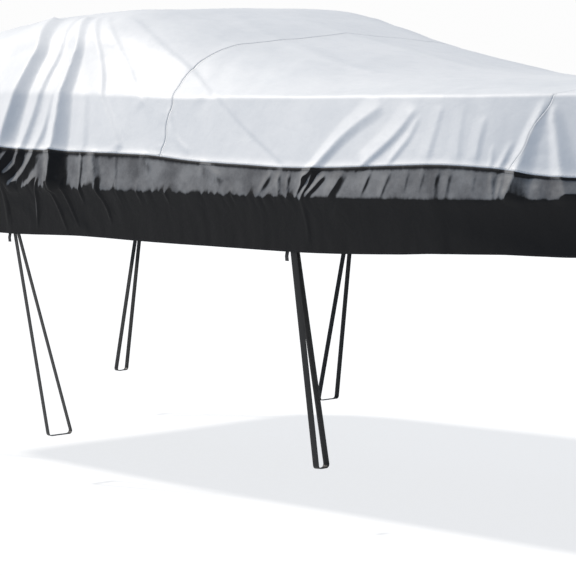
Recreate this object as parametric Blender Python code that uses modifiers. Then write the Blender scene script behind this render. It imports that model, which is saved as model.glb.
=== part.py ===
"""Fitted trailering cover for a runabout, in the shape in which it hangs.

Metres, +Z up, +X to the bow, -Y to starboard. The origin is under the cloth
at the top of the windshield, where the boat holds the cover up.
"""

import math

import bmesh
import bpy
import numpy as np
from mathutils import Vector

# Cloth
CLOTH_THICKNESS = 0.002
SEAM_GAP = 0.0016           # between two panels that are sewn edge to edge
RIDGE_AT_ORIGIN = 0.724     # height of the cloth over the gunwale at the origin
TOP_GAP = 0.0005            # from the origin up to the inside of the cloth
PORT_LIFT = 0.012           # the cloth sits a little higher over the port corner
PORT_LIFT_DEPTH = 0.35      # how far under the origin that dies away

# The charcoal band
HEM_TUCK = 0.042            # how far the hem draws in under the gunwale
BAND_DRAW = 0.010           # how far the lower band draws in at half its height
BAND_LEAN = 0.018           # how far its upper seam lies inside the gunwale

# One row for each place where the band's width changes, by distance u along it.
BAND_COLUMNS = ("u", "rise", "drop")    # seam over, and hem under, the gunwale
BAND_EDGES = (
    (-3.10, 0.125, 0.190),
    (-1.20, 0.135, 0.192),
    (-0.34, 0.144, 0.199),
    (0.15, 0.141, 0.189),
    (0.52, 0.138, 0.193),
    (0.83, 0.118, 0.194),
    (1.08, 0.110, 0.196),
    (1.34, 0.103, 0.198),
    (1.80, 0.115, 0.190),
    (1.97, 0.119, 0.184),
    (2.21, 0.105, 0.183),
    (2.37, 0.080, 0.188),
    (2.50, 0.068, 0.192),
    (3.00, 0.072, 0.190),
    (4.20, 0.080, 0.185),
)

# Places along the gunwale, measured forward from the origin
SEAM_AFT_U = 0.62           # cross seam ahead of the windshield
SEAM_FORE_U = 2.38          # cross seam on the foredeck
SEAM_FORE_LEAN = 0.11       # how far aft of that it meets the band
SEAM_FORE_REACH = 0.25      # how far along the boat its lean shifts the cloth
TRANSOM_U = -2.02           # corner seam between side and transom

# Levels of a section: 0 hem, 1 gunwale, 2 band seam, 3 crease, 4 shoulder, 5 spine
HEM, GUNWALE, BAND_SEAM, CREASE, SHOULDER, SPINE = range(6)
# Usual distance of each level from the gunwale, measured up the cloth
LEVEL_GIRTH = (-0.19, 0.0, 0.11, 0.375, 0.75, 1.45)
# Half-width of the rounding at each level, as a share of the next level's distance
LEVEL_ROUNDING = (0.0, 0.13, 0.10, 0.16, 0.42, 0.0)

# One row for each section, from the stern's centre line round to the bow tip.
STATION_COLUMNS = ("gunwale_x", "gunwale_y", "spine_x", "sheer", "crease_inset",
                   "crease_height", "shoulder_share", "shoulder_height", "ridge_height")
STATIONS = (
    (-2.000, 0.000, -1.450, 0.010, 0.060, 0.290, 0.42, 0.375, 0.470),
    (-2.000, 0.500, -1.440, 0.010, 0.062, 0.290, 0.45, 0.378, 0.472),
    (-1.990, 0.820, -1.420, 0.010, 0.070, 0.292, 0.44, 0.385, 0.478),
    (-1.930, 0.930, -1.400, 0.009, 0.080, 0.295, 0.42, 0.395, 0.485),
    (-1.800, 0.968, -1.350, 0.008, 0.085, 0.302, 0.39, 0.420, 0.505),
    (-1.500, 0.998, -1.220, 0.006, 0.085, 0.325, 0.35, 0.495, 0.560),
    (-1.000, 1.030, -0.930, 0.003, 0.080, 0.350, 0.31, 0.615, 0.650),
    (-0.500, 1.046, -0.500, 0.001, 0.080, 0.362, 0.27, 0.690, 0.708),
    (0.000, 1.050, 0.000, 0.000, 0.080, 0.368, 0.25, 0.714, 0.724),
    (0.300, 1.050, 0.300, 0.000, 0.078, 0.366, 0.27, 0.655, 0.680),
    (0.640, 1.050, 0.640, 0.000, 0.074, 0.358, 0.30, 0.562, 0.605),
    (1.000, 1.050, 1.000, 0.002, 0.078, 0.362, 0.36, 0.492, 0.530),
    (1.340, 1.048, 1.340, 0.005, 0.080, 0.364, 0.42, 0.436, 0.462),
    (1.900, 1.028, 1.900, 0.014, 0.080, 0.360, 0.46, 0.402, 0.416),
    (2.540, 0.903, 2.520, 0.034, 0.080, 0.352, 0.50, 0.378, 0.388),
    (3.000, 0.680, 2.900, 0.058, 0.075, 0.338, 0.52, 0.362, 0.370),
    (3.300, 0.430, 3.080, 0.078, 0.070, 0.325, 0.52, 0.348, 0.356),
    (3.500, 0.190, 3.170, 0.092, 0.065, 0.315, 0.52, 0.338, 0.346),
    (3.600, 0.000, 3.200, 0.100, 0.060, 0.310, 0.52, 0.332, 0.340),
)

# Main folds. Each runs from (from_u, from_g) to (to_u, to_g): u is forward along
# the gunwale and g is up the cloth from the gunwale. Height is out of the cloth,
# widths are half-widths at the two ends, and lean makes the forward flank softer.
FOLD_COLUMNS = ("from_u", "from_g", "to_u", "to_g", "bow",
                "from_width", "to_width", "height", "lean")
STARBOARD_FOLDS = (
    (-0.12, 0.74, -0.36, 0.02, 0.03, 0.050, 0.090, -0.030, 0.3),
    (-0.04, 0.72, -0.22, 0.04, 0.02, 0.030, 0.045, 0.022, 0.0),
    (0.00, 0.70, -0.09, 0.02, 0.00, 0.035, 0.055, -0.026, -0.4),
    (0.03, 0.70, 0.07, 0.10, 0.01, 0.035, 0.055, 0.016, 0.3),
    (0.06, 0.72, 1.26, 0.08, -0.02, 0.060, 0.050, 0.020, 0.3),
    (1.34, 0.06, 1.72, 0.36, 0.00, 0.030, 0.050, 0.018, 0.3),
    (1.55, 0.05, 1.86, 0.36, 0.00, 0.035, 0.045, 0.012, 0.3),
    (2.40, 0.36, 2.18, 0.06, 0.02, 0.045, 0.035, -0.016, 0.2),
    (2.44, 0.34, 2.40, 0.04, 0.00, 0.045, 0.050, 0.014, 0.2),
    (-0.26, 0.00, -0.26, -0.19, 0.00, 0.045, 0.040, 0.010, 0.0),
    (1.32, 0.02, 1.31, -0.19, 0.00, 0.040, 0.040, 0.010, 0.0),
)
PORT_FOLDS = (
    (-0.06, 0.74, -0.30, 0.03, 0.02, 0.050, 0.085, -0.026, 0.2),
    (0.02, 0.70, 0.02, 0.06, 0.01, 0.040, 0.060, 0.018, 0.2),
    (0.06, 0.72, 1.20, 0.10, -0.02, 0.060, 0.055, 0.018, 0.3),
    (1.36, 0.05, 1.78, 0.36, 0.00, 0.035, 0.055, 0.015, 0.3),
    (2.42, 0.35, 2.30, 0.05, 0.01, 0.045, 0.045, 0.014, 0.2),
)

# Folds die away over the last of the levels to the spine and of the length to the bow
SPINE_CALM = 0.5
BOW_CALM = 0.3

# Mesh of the cloth
VIEW_STEP = 0.08            # along the boat, where the folds are
PLAIN_STEP = 0.16           # along the rest of it
TRANSOM_STEP = 0.2          # round the stern
NORMAL_STEP = 0.004         # between the places that the face's normal is taken from
FOLDED_LENGTH = (-0.44, 2.52)
LEVEL_ROWS = (2, 2, 3, 4, 4)    # rows from each level to the next
TRANSOM_SEAM = CREASE - 1 / LEVEL_ROWS[BAND_SEAM]    # the mesh row under the crease
MIN_SPACING = 0.02          # no line lies closer than this to a panel's edge
MERGE_DISTANCE = 1e-5
SHARP_ANGLE = 40            # degrees between faces that are shaded as an edge

# Tie-down loops of flat webbing round the left-out trailer rail
WEB_WIDTH = 0.025
WEB_THICKNESS = 0.002
RAIL_CORNER = 0.014         # turn of the loop under each edge of the rail
TOP_RADIUS = 0.008          # turn of the loop at its top
STRAP_HIDDEN = 0.012        # how far the loop's top turn lies over the hem
STRAP_CLEARANCE = 0.009     # from the hem's outer face in to the loop
STRAP_STEPS = 5             # pieces in each straight run of the loop
ARC_STEPS = 3               # and in each turn
HEM_SIGHT = 0.01            # how far each side of the loop the hem's direction is taken
TAIL_WIDTH = 0.018
TAIL_OFFSET = 0.029         # how far aft of its loop the tail hangs
TAIL_LINE = ((0.001, 0.016), (0.000, 0.000), (-0.004, -0.016), (-0.002, -0.034))

# One row for each pair of loops, starboard and port.
STRAP_COLUMNS = ("u", "foot_inset", "foot_width", "foot_forward", "turn", "bottom_z")
STRAPS = (
    (-1.700, 0.13, 0.075, 0.00, 0.0, -1.74),
    (-0.300, 0.14, 0.120, 0.03, -6.0, -1.76),
    (1.295, 0.12, 0.055, 0.00, 18.0, -1.72),
    (2.900, 0.10, 0.055, 0.00, 0.0, -1.69),
)


def by_column(columns, table):
    return {name: np.array([row[i] for row in table]) for i, name in enumerate(columns)}


ROWS = by_column(STATION_COLUMNS, STATIONS)
EDGES = by_column(BAND_COLUMNS, BAND_EDGES)


def slopes(knots, values):
    """Slopes of a smooth curve through the values that doesn't overshoot."""
    steps = np.diff(knots)
    rates = np.diff(values) / steps
    inner = np.zeros(len(knots))
    same_way = rates[:-1] * rates[1:] > 0
    weight_a = 2 * steps[1:] + steps[:-1]
    weight_b = steps[1:] + 2 * steps[:-1]
    safe_a = np.where(same_way, rates[:-1], 1.0)
    safe_b = np.where(same_way, rates[1:], 1.0)
    mean = (weight_a + weight_b) / (weight_a / safe_a + weight_b / safe_b)
    inner[1:-1] = np.where(same_way, mean, 0.0)
    inner[0], inner[-1] = rates[0], rates[-1]
    return inner


def smooth_between(knots, values, at):
    at = np.clip(at, knots[0], knots[-1])
    k = np.clip(np.searchsorted(knots, at) - 1, 0, len(knots) - 2)
    step = knots[k + 1] - knots[k]
    t = (at - knots[k]) / step
    m = slopes(knots, values)
    return ((1 + 2 * t) * (1 - t) ** 2 * values[k] + t * (1 - t) ** 2 * step * m[k]
            + t ** 2 * (3 - 2 * t) * values[k + 1] + t ** 2 * (t - 1) * step * m[k + 1])


def gunwale_lengths():
    """Distance of each station along the gunwale, forward from the origin."""
    runs = np.hypot(np.diff(ROWS["gunwale_x"]), np.diff(ROWS["gunwale_y"]))
    along = np.concatenate(([0.0], np.cumsum(runs)))
    return along - np.interp(0.0, ROWS["gunwale_x"][3:], along[3:])


STATION_U = gunwale_lengths()
STERN_U, BOW_U = STATION_U[0], STATION_U[-1]


def section_points(u):
    """Plan position and height of the six levels of the section at each u."""
    row = {name: smooth_between(STATION_U, ROWS[name], u) for name in STATION_COLUMNS}
    reach = np.hypot(row["spine_x"] - row["gunwale_x"], row["gunwale_y"])
    inward_x = (row["spine_x"] - row["gunwale_x"]) / reach
    inward_y = row["gunwale_y"] / reach
    rise, drop = (smooth_between(EDGES["u"], EDGES[name], u) for name in ("rise", "drop"))
    inset = np.stack([np.full_like(u, HEM_TUCK), np.zeros_like(u), np.full_like(u, BAND_LEAN),
                      row["crease_inset"], row["shoulder_share"] * reach, reach])
    height = np.stack([-drop, np.zeros_like(u), rise,
                       row["crease_height"], row["shoulder_height"], row["ridge_height"]])
    x = row["gunwale_x"] + inset * inward_x
    y = row["gunwale_y"] - inset * inward_y
    z = height + row["sheer"] - RIDGE_AT_ORIGIN + CLOTH_THICKNESS + TOP_GAP
    return np.stack([x, y, z], axis=-1)


def section_at(corners, v):
    """Point at level v of sections whose straight runs meet in round corners."""
    k = np.clip(np.floor(v).astype(int), 0, SPINE - 1)
    index = np.arange(len(v))
    t = (v - k)[:, None]
    straight = corners[k, index] * (1 - t) + corners[k + 1, index] * t
    nearest = np.clip(np.rint(v).astype(int), HEM + 1, SPINE - 1)
    half = np.array(LEVEL_ROUNDING)[nearest]
    inside = np.abs(v - nearest) < half
    w = np.where(half > 0, half, 1.0)[:, None]
    s = np.clip((v - nearest)[:, None] / (2 * w) + 0.5, 0, 1)
    corner = corners[nearest, index]
    before = corner + (corners[nearest - 1, index] - corner) * w
    after = corner + (corners[nearest + 1, index] - corner) * w
    rounded = before * (1 - s) ** 2 + corner * 2 * s * (1 - s) + after * s ** 2
    point = np.where(inside[:, None], rounded, straight)
    draw = np.where(v < GUNWALE, 4 * v * (1 - v), 0.0) * BAND_DRAW
    inward = corners[SPINE, index, :2] - corners[GUNWALE, index, :2]
    inward = inward / np.linalg.norm(inward, axis=1)[:, None]
    point[:, :2] += inward * draw[:, None]
    return point


def base_surface(u, v, side):
    """The cover's outer face without its folds; side is -1 to starboard."""
    point = section_at(section_points(u), v)
    point[:, 1] *= side
    hump = np.clip((point[:, 2] + PORT_LIFT_DEPTH) / PORT_LIFT_DEPTH, 0, 1)
    point[:, 2] += PORT_LIFT * hump * point[:, 1]
    return point


def fold_height(u, g, folds):
    """How far the folds lift the cloth at each place."""
    total = np.zeros_like(u)
    for row in folds:
        fold = dict(zip(FOLD_COLUMNS, row))
        start = np.array([fold["from_u"], fold["from_g"]])
        run = np.array([fold["to_u"], fold["to_g"]]) - start
        length = np.hypot(*run)
        along = ((u - start[0]) * run[0] + (g - start[1]) * run[1]) / length ** 2
        across = ((u - start[0]) * run[1] - (g - start[1]) * run[0]) / length
        t = np.clip(along, 0, 1)
        across = across - fold["bow"] * 4 * t * (1 - t)
        width = fold["from_width"] * (1 - t) + fold["to_width"] * t
        width = width * (1 + fold["lean"] * np.sign(across))
        past = np.maximum(np.abs(along - 0.5) - 0.5, 0) * length
        total += fold["height"] * np.exp(-(across / width) ** 2 - (past / (1.5 * width)) ** 2)
    return total


def lean_with_seam(u, girth):
    """Places along the gunwale, moved aft beside the foredeck seam under the crease."""
    below = np.clip((LEVEL_GIRTH[CREASE] - girth)
                    / (LEVEL_GIRTH[CREASE] - LEVEL_GIRTH[BAND_SEAM]), 0, 1)
    over_band = girth > LEVEL_GIRTH[BAND_SEAM]
    near = np.exp(-((u - SEAM_FORE_U) / SEAM_FORE_REACH) ** 2)
    return u - SEAM_FORE_LEAN * below * over_band * near


def cover_surface(u, v, side):
    """Outer face with its folds, each point moved along the base face's normal."""
    girth = np.interp(v, range(SPINE + 1), LEVEL_GIRTH)
    u = lean_with_seam(u, girth)
    point = base_surface(u, v, side)
    u_low, u_high = np.maximum(u - NORMAL_STEP, STERN_U), np.minimum(u + NORMAL_STEP, BOW_U)
    v_low, v_high = np.maximum(v - NORMAL_STEP, HEM), np.minimum(v + NORMAL_STEP, SPINE)
    along = base_surface(u_high, v, side) - base_surface(u_low, v, side)
    up = base_surface(u, v_high, side) - base_surface(u, v_low, side)
    normal = np.cross(along, up) * -side
    size = np.linalg.norm(normal, axis=1)
    normal = normal / np.where(size > 0, size, 1.0)[:, None]
    folds = STARBOARD_FOLDS if side < 0 else PORT_FOLDS
    lift = fold_height(u, girth, folds)
    calm = np.clip((SPINE - v) / SPINE_CALM, 0, 1) * np.clip((BOW_U - u) / BOW_CALM, 0, 1)
    return point + normal * (lift * calm)[:, None]


def evenly(start, end, step):
    count = max(1, round((end - start) / step))
    return np.linspace(start, end, count + 1)


def length_lines():
    """Places along the gunwale of the mesh's columns."""
    stops = ((STERN_U, TRANSOM_U, TRANSOM_STEP), (TRANSOM_U, FOLDED_LENGTH[0], PLAIN_STEP),
             (FOLDED_LENGTH[0], SEAM_AFT_U, VIEW_STEP), (SEAM_AFT_U, SEAM_FORE_U, VIEW_STEP),
             (SEAM_FORE_U, FOLDED_LENGTH[1], VIEW_STEP), (FOLDED_LENGTH[1], BOW_U, PLAIN_STEP))
    return np.unique(np.concatenate([evenly(*stop) for stop in stops]).round(5))


def level_lines():
    """Levels of the mesh's rows from hem to spine."""
    return np.concatenate([np.arange(rows) / rows + level
                           for level, rows in enumerate(LEVEL_ROWS)] + [[SPINE]])


def lines_within(lines, start, end):
    inside = lines[(lines > start + MIN_SPACING) & (lines < end - MIN_SPACING)]
    return np.concatenate(([start], inside, [end]))


def level_share(level, distance):
    """A distance up the cloth over this level, as a share of the way to the next."""
    return distance / (LEVEL_GIRTH[level + 1] - LEVEL_GIRTH[level])


def material(name, colour, roughness):
    made = bpy.data.materials.new(name)
    made.use_nodes = True
    shader = made.node_tree.nodes["Principled BSDF"]
    shader.inputs["Base Color"].default_value = (*colour, 1.0)
    shader.inputs["Roughness"].default_value = roughness
    shader.inputs["Metallic"].default_value = 0.0
    return made


def finish_object(name, mesh, finish, collection):
    mesh.materials.append(finish)
    thing = bpy.data.objects.new(name, mesh)
    collection.objects.link(thing)
    mesh.shade_smooth()
    mesh.set_sharp_from_angle(angle=math.radians(SHARP_ANGLE))
    return thing


def add_thickness(thing, thickness, offset):
    shell = thing.modifiers.new("Cloth", "SOLIDIFY")
    shell.thickness = thickness
    shell.offset = offset
    shell.use_even_offset = True
    return shell


def cloth_panel(name, areas, finish, collection, bow_gap=0.0):
    """A sheet over one or more areas, each (side, from_u, to_u, from_v, to_v)."""
    builder = bmesh.new()
    for side, from_u, to_u, from_v, to_v in areas:
        us = lines_within(length_lines(), from_u, to_u)
        vs = lines_within(level_lines(), from_v, to_v)
        grid_u, grid_v = (axis.ravel() for axis in np.meshgrid(us, vs, indexing="ij"))
        points = cover_surface(grid_u, grid_v, side)
        points[(grid_v == SPINE) | (grid_u == STERN_U), 1] = 0.0
        points[grid_u == BOW_U, 1] = side * bow_gap
        corners = [builder.verts.new(p) for p in points]
        rows = len(vs)
        for i in range(len(us) - 1):
            for j in range(rows - 1):
                low, high = i * rows + j, (i + 1) * rows + j
                quad = [corners[low], corners[high], corners[high + 1], corners[low + 1]]
                builder.faces.new(quad if side < 0 else quad[::-1])
    bmesh.ops.remove_doubles(builder, verts=builder.verts, dist=MERGE_DISTANCE)
    mesh = bpy.data.meshes.new(name)
    builder.to_mesh(mesh)
    builder.free()
    thing = finish_object(name, mesh, finish, collection)
    add_thickness(thing, CLOTH_THICKNESS, -1)
    return thing


def build_cloth(silver, charcoal, collection):
    half = SEAM_GAP / 2
    over_band = BAND_SEAM + level_share(BAND_SEAM, half)
    under_seam = BAND_SEAM - level_share(GUNWALE, half)
    under_top = TRANSOM_SEAM - level_share(BAND_SEAM, SEAM_GAP)
    after_corner, before_corner = TRANSOM_U - half, TRANSOM_U + half

    def both_sides(*area):
        return [(side, *area) for side in (-1, 1)]

    cloth_panel("top_aft",
                both_sides(before_corner, SEAM_AFT_U - half, over_band, SPINE)
                + both_sides(STERN_U, before_corner, TRANSOM_SEAM, SPINE), silver, collection)
    cloth_panel("top_mid", both_sides(SEAM_AFT_U + half, SEAM_FORE_U - half, over_band, SPINE),
                silver, collection)
    cloth_panel("top_bow", both_sides(SEAM_FORE_U + half, BOW_U, over_band, SPINE),
                silver, collection)
    cloth_panel("transom_panel", both_sides(STERN_U, after_corner, over_band, under_top),
                silver, collection)
    cloth_panel("band_transom", both_sides(STERN_U, after_corner, HEM, under_seam),
                charcoal, collection)
    for side, name in ((-1, "band_starboard"), (1, "band_port")):
        cloth_panel(name, [(side, before_corner, BOW_U, HEM, under_seam)],
                    charcoal, collection, bow_gap=SEAM_GAP)


def webbing(name, centres, across, width, closed, finish, collection):
    """Flat webbing along a line of points, its width along one level direction."""
    builder = bmesh.new()
    half = across * width / 2
    pairs = [(builder.verts.new(p - half), builder.verts.new(p + half)) for p in centres]
    following = pairs[1:] + pairs[:1] if closed else pairs[1:]
    for (near, far), (next_near, next_far) in zip(pairs, following):
        builder.faces.new((near, next_near, next_far, far))
    mesh = bpy.data.meshes.new(name)
    builder.to_mesh(mesh)
    builder.free()
    thing = finish_object(name, mesh, finish, collection)
    add_thickness(thing, WEB_THICKNESS, 0)
    return thing


def arc(centre, radius, start, end, steps):
    """Points of an arc in the loop's plane, (inboard, up), angles in degrees."""
    angles = np.radians(np.linspace(start, end, steps + 1))
    return [(centre[0] + radius * math.cos(a), centre[1] + radius * math.sin(a))
            for a in angles]


def run_between(start, end, steps):
    return [tuple(np.array(start) + (np.array(end) - np.array(start)) * i / steps)
            for i in range(1, steps)]


def strap_loop(hem_z, strap):
    """The loop's line: (inboard of the hem, height) from its top round the rail."""
    bottom, width, inset = strap["bottom_z"], strap["foot_width"], strap["foot_inset"]
    radius = RAIL_CORNER
    top = (TOP_RADIUS, hem_z + STRAP_HIDDEN)
    outer_corner = (inset + radius, bottom + radius)
    inner_corner = (inset + width - radius, bottom + radius)
    crown = arc(top, TOP_RADIUS, 90, 180, ARC_STEPS)
    outer_turn = arc(outer_corner, radius, 180, 270, ARC_STEPS)
    inner_turn = arc(inner_corner, radius, 270, 360, ARC_STEPS)
    back = arc(top, TOP_RADIUS, 0, 90, ARC_STEPS)[:-1]
    return (crown + run_between(crown[-1], outer_turn[0], STRAP_STEPS) + outer_turn
            + inner_turn + run_between(inner_turn[-1], back[0], STRAP_STEPS) + back)


def build_strap(name_end, strap, side, black, collection):
    """One loop and its tail, hung just inside the hem."""
    u = np.array([strap["u"] - HEM_SIGHT, strap["u"], strap["u"] + HEM_SIGHT])
    behind, hem, ahead = (Vector(p) for p in base_surface(u, np.full(3, HEM), side))
    forward = (ahead - behind).normalized()
    inboard = Vector((0, 0, -side)).cross(forward).normalized()
    start = hem + inboard * STRAP_CLEARANCE
    start.z = 0.0
    drop = hem.z - strap["bottom_z"]
    centres = []
    for inward, z in strap_loop(hem.z, strap):
        lean = strap["foot_forward"] * min(1.0, max(0.0, (hem.z - z) / drop))
        centres.append(start + inboard * inward + forward * lean + Vector((0, 0, z)))
    turn = math.radians(strap["turn"])
    across = forward * math.cos(turn) + inboard * math.sin(turn)
    webbing(f"strap_{name_end}", centres, across, WEB_WIDTH, True, black, collection)
    tail = [start + inboard * inward - forward * TAIL_OFFSET + Vector((0, 0, hem.z + up))
            for inward, up in TAIL_LINE]
    webbing(f"tail_{name_end}", tail, forward, TAIL_WIDTH, False, black, collection)


def build_straps(black, collection):
    for number, row in enumerate(STRAPS, start=1):
        strap = dict(zip(STRAP_COLUMNS, row))
        for side, letter in ((-1, "s"), (1, "p")):
            build_strap(f"{letter}{number}", strap, side, black, collection)


def main():
    for thing in list(bpy.data.objects):
        bpy.data.objects.remove(thing, do_unlink=True)
    collection = bpy.data.collections.new("boat_cover")
    bpy.context.scene.collection.children.link(collection)
    silver = material("silver_polyester", (0.72, 0.75, 0.80), 0.55)
    charcoal = material("charcoal_polyester", (0.035, 0.037, 0.042), 0.65)
    black = material("black_webbing", (0.012, 0.013, 0.015), 0.70)
    build_cloth(silver, charcoal, collection)
    build_straps(black, collection)


main()
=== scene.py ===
import math

import bmesh
import bpy
import numpy as np
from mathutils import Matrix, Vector


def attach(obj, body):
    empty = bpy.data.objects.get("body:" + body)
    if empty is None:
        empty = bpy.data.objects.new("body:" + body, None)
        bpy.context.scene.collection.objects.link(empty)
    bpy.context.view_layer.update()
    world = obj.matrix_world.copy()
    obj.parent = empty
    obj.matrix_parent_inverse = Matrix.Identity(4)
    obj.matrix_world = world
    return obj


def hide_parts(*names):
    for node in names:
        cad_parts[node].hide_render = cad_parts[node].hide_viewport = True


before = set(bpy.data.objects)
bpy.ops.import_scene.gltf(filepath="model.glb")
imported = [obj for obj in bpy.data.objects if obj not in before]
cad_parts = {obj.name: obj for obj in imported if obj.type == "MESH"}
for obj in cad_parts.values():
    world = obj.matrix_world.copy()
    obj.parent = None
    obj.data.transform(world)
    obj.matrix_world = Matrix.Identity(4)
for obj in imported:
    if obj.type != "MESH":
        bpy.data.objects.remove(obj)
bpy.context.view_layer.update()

print("frame loaded")

# A long lens, from ahead and to starboard, a little above the gunwale.
cameraSetup = {"place": (7.645, -7.374, -0.279), "azimuth": 45.0, "pitch": 4.87, "lens": 156.25}


def placeCamera(setup):
    data = bpy.data.cameras.new("camera")
    data.lens = setup["lens"]
    data.clip_end = 500
    camera = bpy.data.objects.new("camera", data)
    bpy.context.scene.collection.objects.link(camera)
    camera.location = setup["place"]
    camera.rotation_euler = (math.radians(90 - setup["pitch"]), 0, math.radians(setup["azimuth"]))
    bpy.context.scene.camera = camera


placeCamera(cameraSetup)


# The cover's sections are the CAD's own, with tighter bends.
# u is forward along the gunwale from the origin and g is up the cloth from the gunwale.
# v is the level on a section: 0 hem, 1 gunwale, 2 band seam, 3 crease, 4 shoulder, 5 spine.
hem, gunwale, bandSeam, crease, shoulder, spine = range(6)

coverShape = {
    "clothThickness": 0.002,    # of the CAD's sheets
    "seamGap": 0.0003,          # between two panels that are sewn edge to edge
    "ridgeAtOrigin": 0.724,     # height of the cloth over the gunwale at the origin
    "topGap": 0.0005,           # from the origin up to the inside of the cloth
    "portLift": 0.012,          # the crown rises this much for each metre to port
    "portLiftDepth": 0.35,      # how far under the origin that dies away
    "hemTuck": 0.042,           # how far the hem draws in under the gunwale
    "bandDraw": 0.010,          # how far the lower band draws in at half its height
    "bandLean": 0.018,          # how far in from the gunwale the band seam is
    "seamAftU": 0.62,           # cross seam ahead of the windshield
    "seamForeU": 2.38,          # cross seam on the foredeck
    "seamForeLean": 0.11,       # how far aft of that it meets the band
    "seamForeReach": 0.25,      # how far along the cloth leans with it
    "transomU": -2.02,          # corner seam between side and transom
    "transomDrop": 1 / 3,       # of a level, from the crease down to the transom's top seam
    "levelGirth": (-0.19, 0.0, 0.11, 0.375, 0.75, 1.45),        # g at each level
    "levelRounding": (0.0, 0.11, 0.07, 0.035, 0.40, 0.0),       # share of a level rounded to each side
}
sideStations = slice(3, None)       # the three before these go round the transom

bandColumns = ("u", "rise", "drop")     # seam over, and hem under, the gunwale
bandEdges = (
    (-3.10, 0.125, 0.190),
    (-1.20, 0.135, 0.192),
    (-0.34, 0.144, 0.199),
    (0.15, 0.141, 0.189),
    (0.52, 0.138, 0.193),
    (0.83, 0.118, 0.194),
    (1.08, 0.110, 0.196),
    (1.34, 0.103, 0.198),
    (1.80, 0.115, 0.190),
    (1.97, 0.119, 0.184),
    (2.21, 0.105, 0.183),
    (2.37, 0.080, 0.188),
    (2.50, 0.068, 0.192),
    (3.00, 0.072, 0.190),
    (4.20, 0.080, 0.185),
)

# Stations round one side, from the middle of the transom to the bow tip. Insets and shares run
# in from the gunwale to the spine, and heights go up from the gunwale.
stationColumns = ("gunwaleX", "gunwaleY", "spineX", "sheer", "creaseInset",
                  "creaseHeight", "shoulderShare", "shoulderHeight", "ridgeHeight")
stations = (
    (-2.000, 0.000, -1.450, 0.010, 0.060, 0.290, 0.42, 0.375, 0.470),
    (-2.000, 0.500, -1.440, 0.010, 0.062, 0.290, 0.45, 0.378, 0.472),
    (-1.990, 0.820, -1.420, 0.010, 0.070, 0.292, 0.44, 0.385, 0.478),
    (-1.930, 0.930, -1.400, 0.009, 0.080, 0.295, 0.42, 0.395, 0.485),
    (-1.800, 0.968, -1.350, 0.008, 0.085, 0.302, 0.39, 0.420, 0.505),
    (-1.500, 0.998, -1.220, 0.006, 0.085, 0.325, 0.35, 0.495, 0.560),
    (-1.000, 1.030, -0.930, 0.003, 0.080, 0.350, 0.31, 0.615, 0.650),
    (-0.500, 1.046, -0.500, 0.001, 0.080, 0.362, 0.27, 0.690, 0.708),
    (0.000, 1.050, 0.000, 0.000, 0.080, 0.368, 0.25, 0.714, 0.724),
    (0.300, 1.050, 0.300, 0.000, 0.078, 0.366, 0.27, 0.655, 0.680),
    (0.640, 1.050, 0.640, 0.000, 0.074, 0.358, 0.30, 0.562, 0.605),
    (1.000, 1.050, 1.000, 0.002, 0.078, 0.362, 0.36, 0.492, 0.530),
    (1.340, 1.048, 1.340, 0.005, 0.080, 0.364, 0.42, 0.436, 0.462),
    (1.900, 1.028, 1.900, 0.014, 0.080, 0.360, 0.46, 0.402, 0.416),
    (2.540, 0.903, 2.520, 0.034, 0.080, 0.352, 0.50, 0.378, 0.388),
    (3.000, 0.680, 2.900, 0.058, 0.075, 0.338, 0.52, 0.362, 0.370),
    (3.300, 0.430, 3.080, 0.078, 0.070, 0.325, 0.52, 0.348, 0.356),
    (3.500, 0.190, 3.170, 0.092, 0.065, 0.315, 0.52, 0.338, 0.346),
    (3.600, 0.000, 3.200, 0.100, 0.060, 0.310, 0.52, 0.332, 0.340),
)


def byColumn(columns, table):
    return {name: np.array([row[i] for row in table]) for i, name in enumerate(columns)}


rows = byColumn(stationColumns, stations)
edges = byColumn(bandColumns, bandEdges)
crossSeams = (coverShape["seamAftU"], coverShape["seamForeU"])


def slopes(knots, values):
    # slopes of a smooth curve through the values that doesn't overshoot
    steps = np.diff(knots)
    rates = np.diff(values) / steps
    inner = np.zeros(len(knots))
    sameWay = rates[:-1] * rates[1:] > 0
    weightA = 2 * steps[1:] + steps[:-1]
    weightB = steps[1:] + 2 * steps[:-1]
    safeA = np.where(sameWay, rates[:-1], 1.0)
    safeB = np.where(sameWay, rates[1:], 1.0)
    inner[1:-1] = np.where(sameWay, (weightA + weightB) / (weightA / safeA + weightB / safeB), 0.0)
    inner[0], inner[-1] = rates[0], rates[-1]
    return inner


def smoothBetween(knots, values, at):
    at = np.clip(at, knots[0], knots[-1])
    k = np.clip(np.searchsorted(knots, at) - 1, 0, len(knots) - 2)
    step = knots[k + 1] - knots[k]
    t = (at - knots[k]) / step
    m = slopes(knots, values)
    return ((1 + 2 * t) * (1 - t) ** 2 * values[k] + t * (1 - t) ** 2 * step * m[k]
            + t ** 2 * (3 - 2 * t) * values[k + 1] + t ** 2 * (t - 1) * step * m[k + 1])


def gunwaleLengths():
    runs = np.hypot(np.diff(rows["gunwaleX"]), np.diff(rows["gunwaleY"]))
    along = np.concatenate(([0.0], np.cumsum(runs)))
    return along - np.interp(0.0, rows["gunwaleX"][sideStations], along[sideStations])


stationU = gunwaleLengths()
sternU, bowU = stationU[0], stationU[-1]


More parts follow.
